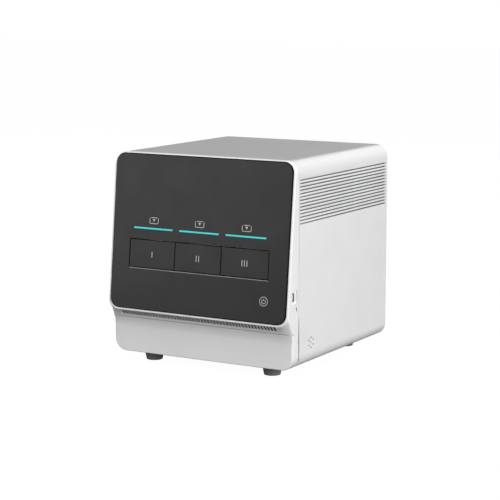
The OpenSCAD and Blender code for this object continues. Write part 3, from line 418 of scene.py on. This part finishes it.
def round_outline(piece):
    """Rounds the outline of the front's lower half and cuts the parting line's two edges into its face."""
    mesh = bmesh.new()
    mesh.from_mesh(piece.data)
    level_side_cuts(mesh)
    weight = mesh.edges.layers.float.new("bevel_weight_edge")
    for edge, z in outline_edges(mesh):
        edge[weight] = rounding_at(z) / BEVEL_WIDTH
    mesh.to_mesh(piece.data)
    mesh.free()
    apply_modifier(piece, "BEVEL", width=BEVEL_WIDTH, segments=4, limit_method="WEIGHT", use_clamp_overlap=False)
    mesh = bmesh.new()
    mesh.from_mesh(piece.data)
    for height in (PARTING_Z - HAIRLINE, PARTING_Z + HAIRLINE):
        cut_across(mesh, height, on_skin)
    mesh.to_mesh(piece.data)
    mesh.free()


# %% Outside pieces
BAY_PITCH = 0.0925
BAYS = {"left": -BAY_PITCH, "middle": 0.0, "right": BAY_PITCH}
wrap = dress("wrap_housing", powder_coat, 0.0)
front = dress("front_frame", moulded_abs, 0.3, shape=round_outline)
glass = dress("front_glass", panel_coat, 0.0, 20)
dress("rubber_feet", foot_rubber, 0.8)
dress("status_lights", turquoise_guide, 0.2)
for bay in BAYS:
    dress("drawer_front_" + bay, panel_coat, 0.35)

# %% Hidden sides and electronics
dress("base_plate", zinc_sheet, 0.2)
dress("rear_panel", powder_coat, 0.0)
dress("rear_screws", plated_steel, 0.2)
dress("foot_screws", plated_steel, 0.2)
dress("chassis_deck", zinc_sheet, 0.2)
dress("air_filters", filter_foam, 0.0)
dress("usb_shell", nickel_shell, 0.15)
dress("usb_tongue", ceramic, 0.1)
dress("speaker", black_abs, 0.3)
dress("power_supply", zinc_sheet, 0.4)
dress("main_board", green_board, 0.1)
dress("touch_board", green_board, 0.1)
dress("power_inlet", black_abs, 0.4)
dress("switch_bezel", black_abs, 0.4)
dress("switch_rocker", black_abs, 0.3)
for side in ("left", "right"):
    dress("fan_frame_" + side, black_abs, 0.4)
    dress("fan_rotor_" + side, black_abs, 0.3)

# %% Bays
for bay in BAYS:
    dress("bay_cage_" + bay, zinc_sheet, 0.2)
    dress("drawer_tray_" + bay, tray_abs, 0.2)
    dress("sample_block_" + bay, milled_aluminium, 0.25)
    dress("thermoelectrics_" + bay, ceramic, 0.1)
    dress("heat_sink_" + bay, milled_aluminium, 0.1)
    dress("drive_pinion_" + bay, acetal, 0.08)
    dress("lid_plate_" + bay, milled_aluminium, 0.3)
    dress("lid_carrier_" + bay, tray_abs, 0.3)
    dress("lid_screw_" + bay, plated_steel, 0.2)
dress("drawer_motors", motor_steel, 0.3)
dress("lid_motors", motor_steel, 0.3)

# %% [markdown]
# ## The dark panel's edge
#
# The panel is a clear hard-coated sheet printed dark from behind. Its face is satin, but its rounded rim shows the
# sheet's thickness, which looks black. The faces that turn away from the panel's own direction get the black edge
# finish, and the small slope under the drawers gets a light grey of its own, a painted highlight. Two functions turn
# panel directions (u across, v up, w out of it) into places in the world and back.

# %% Panel edge faces
TILT = math.radians(6)
FACE_Y = -0.187 - 0.0022 * math.sin(TILT)
FACE_Z = 0.0985
EDGE_TURN = math.radians(25)
SLOPE_V = (0.0700, 0.0735)
SLOPE_HALF_WIDTH = 0.1395
panel_normal = Vector((0, -math.cos(TILT), math.sin(TILT)))


def on_panel(u, v, w=0.0):
    """Turns a piece drawn flat at the origin onto the panel: u across, v up the panel, w out of it."""
    point = Vector((u, FACE_Y + v * math.sin(TILT) - w * math.cos(TILT),
                    FACE_Z + v * math.cos(TILT) + w * math.sin(TILT)))
    return Matrix.Translation(point) @ Matrix.Rotation(math.pi / 2 - TILT, 4, "X")


def panel_place(point):
    """A world point as u, v, w on the panel."""
    return on_panel(0, 0).inverted() @ point


glass.data.materials.append(panel_edge)
glass.data.materials.append(painted_chamfer_highlight)
for face in glass.data.polygons:
    u, v, _ = panel_place(face.center)
    if face.normal.dot(panel_normal) < math.cos(EDGE_TURN):
        face.material_index = 1
    # Painted highlight: the slope under the drawers gets the light grey
    if SLOPE_V[0] < v < SLOPE_V[1] and abs(u) < SLOPE_HALF_WIDTH and 0.3 < face.normal.dot(panel_normal) < 0.9:
        face.material_index = 2
print("panel faces by finish:", [sum(f.material_index == i for f in glass.data.polygons) for i in range(3)])

# %% [markdown]
# The wrap has three finishes too. The floors of the louvres over the rib behind them and the walls of the speaker's
# holes are painted dark as painted shade, and its edge along the seam has the seam's finish with its painted shade.

# %% Wrap faces
SEAM_Y = -0.147
LOUVRE_FLOOR_X = 0.1784
RIB_Y = 0.0635
SPEAKER_Y, SPEAKER_Z, SPEAKER_R = -0.103, 0.057, 0.012
wrap.data.materials.append(painted_shade)
wrap.data.materials.append(seam_edge_painted_shade)
for face in wrap.data.polygons:
    x, y, z = face.center
    # Painted shade on the louvre floors over the rib
    if abs(abs(x) - LOUVRE_FLOOR_X) < 0.0002 and abs(y - RIB_Y) < 0.004:
        face.material_index = 1
    # The seam's edge, with its painted shade low down
    if y < SEAM_Y + 0.0007:
        face.material_index = 2
    # Painted shade on the walls of the speaker's holes
    if x > 0.17 and abs(face.normal.x) < 0.3 and math.hypot(y - SPEAKER_Y, z - SPEAKER_Z) < SPEAKER_R:
        face.material_index = 1

# %% [markdown]
# The tongue of the front behind the seam is painted dark in its lower part, as painted shade in the seam's gap. The
# walls of the comb's slots, the back of the sweep, the hairline and the walls of the drawers' opening are painted dark
# as painted shade, and the rim around the panel is polished and a touch lighter, as a painted highlight.

# %% Front faces
SEAM_SHADE_TOP_Z = 0.200
SWEEP_R, SWEEP_FOOT_Z = 0.040, 0.0612
COMB_HALF_WIDTH, COMB_TOP_Z, COMB_BACK_Y = 0.157, 0.0965, -0.150
RIM_DEPTH = 0.0052
OPENING_HALF_WIDTH, OPENING_Z = 0.152, (0.150, 0.245)
sweep_axis = Vector((CHIN_Y - SWEEP_R, SWEEP_FOOT_Z))
front.data.materials.append(painted_seam_shade)
front.data.materials.append(painted_shade)
front.data.materials.append(polished_rim_painted_highlight)
for face in front.data.polygons:
    x, y, z = face.center
    u, _, w = panel_place(face.center)
    behind_sweep = (Vector((y, z)) - sweep_axis).length - SWEEP_R
    # Painted shade on the tongue behind the seam
    if y > SEAM_Y - 0.0004 and z < SEAM_SHADE_TOP_Z:
        face.material_index = 1
    # Painted shade in the comb's slots and behind the sweep
    elif abs(x) < COMB_HALF_WIDTH and SWEEP_FOOT_Z < z < COMB_TOP_Z and behind_sweep > 0.0006 and y < COMB_BACK_Y:
        face.material_index = 2
    # The rim: polished, with painted highlight
    elif w > -RIM_DEPTH and abs(u) < HALF_WIDTH - 0.0001:
        face.material_index = 3
    # Painted shade in the hairline
    elif abs(z - PARTING_Z) < HAIRLINE and y < SKIN_BACK_Y and face.normal.y < -0.05:
        face.material_index = 2
    # Painted shade on the walls of the drawers' opening
    elif abs(x) < OPENING_HALF_WIDTH and OPENING_Z[0] < z < OPENING_Z[1] and abs(face.normal.y) < 0.5:
        face.material_index = 2

# %% [markdown]
# ## Printed signs
#
# The panel carries small pale signs: a drawer sign over each light bar, the numbers I, II and III on the drawers,
# and a round sign at the lower right. They are silk-screened, a film of ink about a tenth of a millimetre thick.
# Each is drawn flat at the origin from primitives, given that thickness, and laid on the panel or the drawer front.

# %% Sign pieces
INK = 0.00012
ABOVE_PANEL = 0.00002
CORNER = 0.0028


def flat_piece(name):
    """The active new primitive, renamed, in edit mode with all of it selected."""
    piece = bpy.context.object
    piece.name = name
    bpy.ops.object.mode_set(mode="EDIT")
    bpy.ops.mesh.select_all(action="SELECT")
    return piece


def thicken(depth):
    """Draws what is selected out to a thickness."""
    bpy.ops.mesh.extrude_region_move(TRANSFORM_OT_translate={"value": (0, 0, depth)})


def leave_facing_out():
    """Turns every face of the piece in edit mode outwards and leaves edit mode."""
    bpy.ops.mesh.select_all(action="SELECT")
    bpy.ops.mesh.normals_make_consistent(inside=False)
    bpy.ops.object.mode_set(mode="OBJECT")


def ink_bar(name, width, height, at=(0, 0), turn=0.0):
    """A bar of ink with rounded corners, turned by an angle."""
    bpy.ops.mesh.primitive_plane_add(size=1, location=(at[0], at[1], 0), rotation=(0, 0, turn))
    bpy.context.object.scale = (width, height, 1)
    bpy.ops.object.transform_apply(location=False, rotation=True, scale=True)
    piece = flat_piece(name)
    bpy.ops.mesh.bevel(offset=0.3 * min(width, height), segments=3, affect="VERTICES")
    thicken(INK)
    bpy.ops.object.mode_set(mode="OBJECT")
    return piece


def ink_arc(name, radius, line, start, sweep, at=(0, 0), steps=8):
    """Part of a ring, from an angle through a sweep, made by spinning a short line."""
    bpy.ops.mesh.primitive_plane_add(size=line, location=(at[0] + radius, at[1], 0))
    piece = flat_piece(name)
    bpy.ops.mesh.select_mode(type="VERT")
    mesh = bmesh.from_edit_mesh(piece.data)
    # One edge of the plane is kept and moved onto the x axis
    bmesh.ops.delete(mesh, geom=mesh.faces[:] + [edge for edge in mesh.edges if abs(
        edge.verts[0].co.y - edge.verts[1].co.y) > 0.1 * line], context="EDGES_FACES")
    spare = [vert for vert in mesh.verts if vert.co.y > 0]
    bmesh.ops.delete(mesh, geom=spare, context="VERTS")
    for vert in mesh.verts:
        vert.co.y = 0.0
    bmesh.ops.spin(mesh, geom=mesh.verts[:] + mesh.edges[:], cent=(-radius, 0, 0), axis=(0, 0, 1),
                   angle=math.radians(sweep), steps=steps)
    bmesh.ops.rotate(mesh, verts=mesh.verts[:], cent=(-radius, 0, 0),
                     matrix=Matrix.Rotation(math.radians(start), 3, "Z"))
    bmesh.update_edit_mesh(piece.data)
    bpy.ops.mesh.select_all(action="SELECT")
    thicken(INK)
    bpy.ops.object.mode_set(mode="OBJECT")
    return piece


def open_box(width, height, line):
    """The parts of a box in outline: round corners at its foot, and a lid that stands clear of its sides."""
    side_x, side_y = width / 2 - line / 2, height / 2 - line / 2
    parts = [ink_bar("foot", width - 2 * CORNER, line, (0, -side_y)),
             ink_bar("lid", width - 2.2 * CORNER, line, (0, side_y))]
    for sign, foot_start in ((1, 270), (-1, 180)):
        parts.append(ink_bar("side", line, height - CORNER - line, (sign * side_x, (CORNER - line) / 2)))
        parts.append(ink_arc("corner", CORNER - line / 2, line, foot_start, 90,
                             (sign * (width / 2 - CORNER), CORNER - height / 2)))
    return parts


def ink_disc(name, radius, line=0.0, sides=48, at=(0, 0), turn=0.0):
    """A disc, a ring where the line's width is given, or a triangle with three sides."""
    bpy.ops.mesh.primitive_circle_add(vertices=sides, radius=radius, fill_type="NGON",
                                      location=(at[0], at[1], 0), rotation=(0, 0, turn))
    bpy.ops.object.transform_apply(location=False, rotation=True, scale=False)
    piece = flat_piece(name)
    if line:
        bpy.ops.mesh.inset(thickness=line)
        bpy.ops.mesh.delete(type="FACE")
        bpy.ops.mesh.select_all(action="SELECT")
    thicken(INK)
    bpy.ops.object.mode_set(mode="OBJECT")
    return piece


def lay_sign(name, parts, place, body, ink=silk_ink):
    """Joins a sign's parts, lays them in place and lets them ride."""
    bpy.ops.object.select_all(action="DESELECT")
    for part in parts:
        part.select_set(True)
    bpy.context.view_layer.objects.active = parts[0]
    if len(parts) > 1:
        bpy.ops.object.join()
    sign = bpy.context.object
    sign.name = name
    bpy.ops.object.transform_apply(location=True, rotation=True, scale=True)
    bpy.ops.object.mode_set(mode="EDIT")
    leave_facing_out()
    sign.data.transform(place)
    sign.data.materials.clear()
    sign.data.materials.append(ink)
    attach(sign, body)


def drawer_sign():
    """A box that stands open, with an arrow that points down into it."""
    return open_box(0.0182, 0.0112, 0.0010) + [
        ink_disc("arrow", 0.0032, sides=3, at=(0, 0.0012), turn=math.pi)]


def round_sign(line=0.0009):
    """A ring around most of a smaller ring, with a tick in its gap."""
    return [ink_disc("ring", 0.0080, line), ink_arc("arc", 0.0038, line, 130, 280),
            ink_bar("tick", line, 0.0044, (0, 0.0027))]


def on_side_wall(side, y, z, off=0.0):
    """Turns a piece drawn flat at the origin onto the left (-1) or right (1) side wall, and off it."""
    turn = Matrix.Rotation(side * math.pi / 2, 4, "Z") @ Matrix.Rotation(math.pi / 2, 4, "X")
    return Matrix.Translation((side * (HALF_WIDTH + off), y, z)) @ turn


# %% Numbers, drawer signs, the round sign and the socket's arrow
NUMBER_V, NUMBER_STEP = 0.0976, 0.0049
SIGN_V, SIGN_OFFSET = 0.1564, 0.0010
ROUND_SIGN_U, ROUND_SIGN_V = 0.1330, 0.0374
SOCKET_SIGN_Y, SOCKET_SIGN_Z = -0.155, 0.1235
for count, (bay, x) in enumerate(BAYS.items(), 1):
    bars = [ink_bar("bar", 0.0013, 0.0105, ((i - (count - 1) / 2) * NUMBER_STEP, 0)) for i in range(count)]
    lay_sign("number_" + bay, bars, on_panel(x, NUMBER_V, ABOVE_PANEL), "drawer_" + bay)
    lay_sign("drawer_sign_" + bay, drawer_sign(), on_panel(x + SIGN_OFFSET, SIGN_V, ABOVE_PANEL), "housing")
lay_sign("round_sign", round_sign(), on_panel(ROUND_SIGN_U, ROUND_SIGN_V, ABOVE_PANEL), "housing")

# A small plain arrow under the socket points up to it
arrow = [ink_disc("arrow", 0.0030, sides=3), ink_bar("stem", 0.0012, 0.0050, (0, -0.0030))]
lay_sign("socket_sign", arrow, on_side_wall(1, SOCKET_SIGN_Y, SOCKET_SIGN_Z, ABOVE_PANEL), "housing", dark_ink)

# %% [markdown]
# ## Painted shade in the seam
#
# Low down on each side a dark lens lies in the seam between the wrap and the front as painted shade, and reads as a
# dark line that fades upwards. It is a disc, drawn out into a slim lens and given a little thickness.

# %% Beads of painted shade in the seam
BEAD_HALF_WIDTH, BEAD_HALF_LENGTH, BEAD_THICKNESS = 0.0010, 0.037, 0.0003
BEAD_Z = 0.068
BEAD_SINK = 0.00012
for name, side in (("left", -1), ("right", 1)):
    bpy.ops.mesh.primitive_circle_add(vertices=40, radius=1, fill_type="NGON")
    bpy.context.object.scale = (BEAD_HALF_WIDTH, BEAD_HALF_LENGTH, 1)
    bpy.ops.object.transform_apply(location=False, rotation=False, scale=True)
    bead = flat_piece("seam_shade_bead_" + name)
    thicken(BEAD_THICKNESS)
    leave_facing_out()
    bead.data.transform(on_side_wall(side, SEAM_Y + 0.0004, BEAD_Z, -BEAD_SINK))
    # Painted shade: black stands for the shadow in the seam's gap
    bead.data.materials.append(black_abs)
    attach(bead, "housing")

# %% [markdown]
# ## Floor, backdrop and light
#
# The photo has a plain white background, a bright right side, a softer front and a grey roof. That is one large
# soft light to the right of the camera and low, with little light from above. The world gives even fill. What the
# camera sees of world and floor is white, and the floor keeps the object's soft shadow.

# %% Floor
FLOOR_GLOW = 0.97
bpy.ops.mesh.primitive_plane_add(size=30, location=(0, 0, 0))
floor = bpy.context.object
floor.name = "floor"
floor_finish, tree, output, _ = start_finish("pale seamless floor")
path = add_node(tree, "ShaderNodeLightPath")
glow = add_node(tree, "ShaderNodeMath", {0: path.outputs["Is Camera Ray"], 1: FLOOR_GLOW}, operation="MULTIPLY")
base = add_node(tree, "ShaderNodeBsdfDiffuse", {"Color": linear("#4C4C4C")})
white = add_node(tree, "ShaderNodeEmission", {"Color": (1, 1, 1, 1), "Strength": glow.outputs[0]})
both = add_node(tree, "ShaderNodeAddShader", {0: base.outputs[0], 1: white.outputs[0]})
tree.links.new(both.outputs[0], output.inputs[0])
floor.data.materials.append(floor_finish)

# %% World and lamps
FILL_LEVEL = 0.315
world = bpy.data.worlds.new("studio")
bpy.context.scene.world = world
world.use_nodes = True
tree = world.node_tree
tree.nodes.clear()
path = add_node(tree, "ShaderNodeLightPath")
seen = add_node(tree, "ShaderNodeMath", {0: path.outputs["Is Camera Ray"], 1: path.outputs["Is Transmission Ray"]},
                operation="MAXIMUM")
sky = add_node(tree, "ShaderNodeBackground", {"Color": (1, 1, 1, 1),
               "Strength": remap(tree, seen.outputs[0], 0.0, 1.0, FILL_LEVEL, 1.0)})
add_node(tree, "ShaderNodeOutputWorld", {0: sky.outputs[0]})


def soft_light(name, at, aim, size, power):
    """A square area lamp that looks at a point."""
    bpy.ops.object.light_add(type="AREA", location=at)
    lamp = bpy.context.object
    lamp.name = name
    lamp.rotation_euler = (Vector(aim) - Vector(at)).to_track_quat("-Z", "Y").to_euler()
    lamp.data.shape = "SQUARE"
    lamp.data.size = size
    lamp.data.energy = power
    return lamp


soft_light("key", (3.3, -1.2, 0.65), (0, 0, 0.15), 1.6, 116)
soft_light("front_fill", (-2.15, -3.05, 0.85), (0, 0, 0.15), 1.9, 48)
soft_light("back_strip", (0.2, 3.2, 1.6), (0, 0, 0.3), 2.2, 31)

# A small lamp from above is flagged off everything but the front frame, so that only its top rim shines
rim_lamp = soft_light("rim_lamp", (0.2, -0.8, 2.3), (0, -0.15, 0.36), 0.8, 17)
flagged = bpy.data.collections.new("lit_by_rim_lamp")
flagged.objects.link(front)
rim_lamp.light_linking.receiver_collection = flagged
